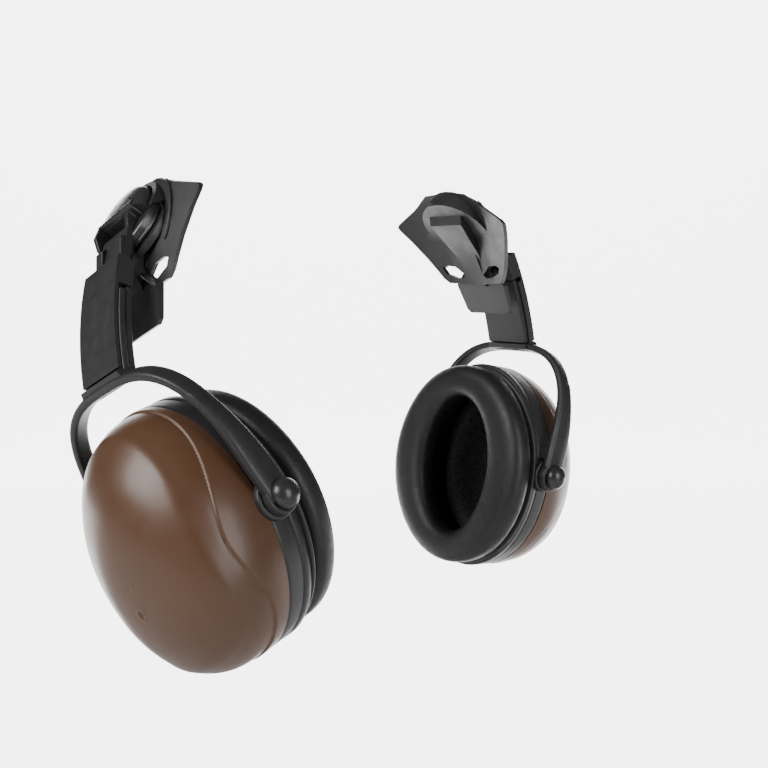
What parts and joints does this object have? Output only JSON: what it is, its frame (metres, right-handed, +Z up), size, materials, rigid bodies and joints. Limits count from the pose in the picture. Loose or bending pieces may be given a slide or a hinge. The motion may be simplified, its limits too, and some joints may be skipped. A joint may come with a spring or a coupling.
{
  "type": "helmet-mounted earmuffs",
  "caption": "Pair of hearing-protector cups with cushions, each on a forked yoke and curved arm that hang from a turning hub on a clip-on helmet bracket.",
  "frame": {"origin": "middle of the wearer's head: midway between the centres of the two cups' seams", "axes": "+X towards the wearer's left ear, -Y towards the wearer's front, +Z up"},
  "size_m": [0.286, 0.1414, 0.2001],
  "materials": {
    "brown_shell": "semi-gloss moulded brown",
    "black_satin": "satin moulded black",
    "black_gloss": "smooth moulded black",
    "cushion_vinyl": "soft black vinyl skin",
    "cushion_foam": "open-cell foam",
    "absorber_foam": "dark open-cell foam",
    "steel": "drawn wire and pressed strip"
  },
  "bodies": {
    "brackets": {"right_helmet_bracket": "black_satin", "right_hub_axle": "steel", "left_helmet_bracket": "black_satin", "left_hub_axle": "steel"},
    "right_hub": {"right_hub_drum": "black_gloss"},
    "right_arm": {"right_arm_cover": "black_satin", "right_arm_back_plate": "black_satin", "right_click_spring": "steel", "right_swing_pin": "steel"},
    "right_yoke": {"right_yoke": "black_satin"},
    "right_cup": {"right_cup_shell": "brown_shell", "right_seat_ring": "black_satin", "right_front_pivot_pin": "black_gloss", "right_rear_pivot_pin": "black_gloss", "right_cushion_plate": "black_satin", "right_cushion_cover": "cushion_vinyl", "right_cushion_foam": "cushion_foam", "right_absorber_foam": "absorber_foam"},
    "left_hub": {"left_hub_drum": "black_gloss"},
    "left_arm": {"left_arm_cover": "black_satin", "left_arm_back_plate": "black_satin", "left_click_spring": "steel", "left_swing_pin": "steel"},
    "left_yoke": {"left_yoke": "black_satin"},
    "left_cup": {"left_cup_shell": "brown_shell", "left_seat_ring": "black_satin", "left_front_pivot_pin": "black_gloss", "left_rear_pivot_pin": "black_gloss", "left_cushion_plate": "black_satin", "left_cushion_cover": "cushion_vinyl", "left_cushion_foam": "cushion_foam", "left_absorber_foam": "absorber_foam"}
  },
  "joints": [
    {"name": "right_hub_turn", "type": "hinge", "parent": "brackets", "child": "right_hub", "pos_m": [-0.09525, 0.05536, 0.12673], "axis": [-0.7965, 0.2567, 0.5475], "range_deg": [-20, 20]},
    {"name": "right_arm_swing", "type": "hinge", "parent": "right_hub", "child": "right_arm", "pos_m": [-0.10959, 0.04401, 0.10015], "axis": [-0.0192, -0.9157, 0.4013], "range_deg": [-6.2, 17.8]},
    {"name": "right_yoke_slide", "type": "hinge", "parent": "right_arm", "child": "right_yoke", "pos_m": [0.03094, 0.01504, 0.04078], "axis": [-0.0192, -0.9157, 0.4013], "range_deg": [0, 7]},
    {"name": "right_cup_tilt", "type": "hinge", "parent": "right_yoke", "child": "right_cup", "pos_m": [-0.0979, 0.0004, 0.0012], "axis": [-0.0192, -0.9157, 0.4013], "range_deg": [-14, 14]},
    {"name": "left_hub_turn", "type": "hinge", "parent": "brackets", "child": "left_hub", "pos_m": [0.08338, 0.0017, 0.1345], "axis": [0.6353, -0.0983, 0.766], "range_deg": [-20, 20]},
    {"name": "left_arm_swing", "type": "hinge", "parent": "left_hub", "child": "left_arm", "pos_m": [0.1036, -0.00099, 0.1095], "axis": [0.1426, 0.9897, 0.0087], "range_deg": [-16, 8]},
    {"name": "left_yoke_slide", "type": "hinge", "parent": "left_arm", "child": "left_yoke", "pos_m": [-0.03181, 0.01917, 0.0362], "axis": [0.1426, 0.9897, 0.0087], "range_deg": [0, 7]},
    {"name": "left_cup_tilt", "type": "hinge", "parent": "left_yoke", "child": "left_cup", "pos_m": [0.0978, 0.0008, 0.0009], "axis": [0.1426, 0.9897, 0.0087], "range_deg": [-14, 14]}
  ]
}
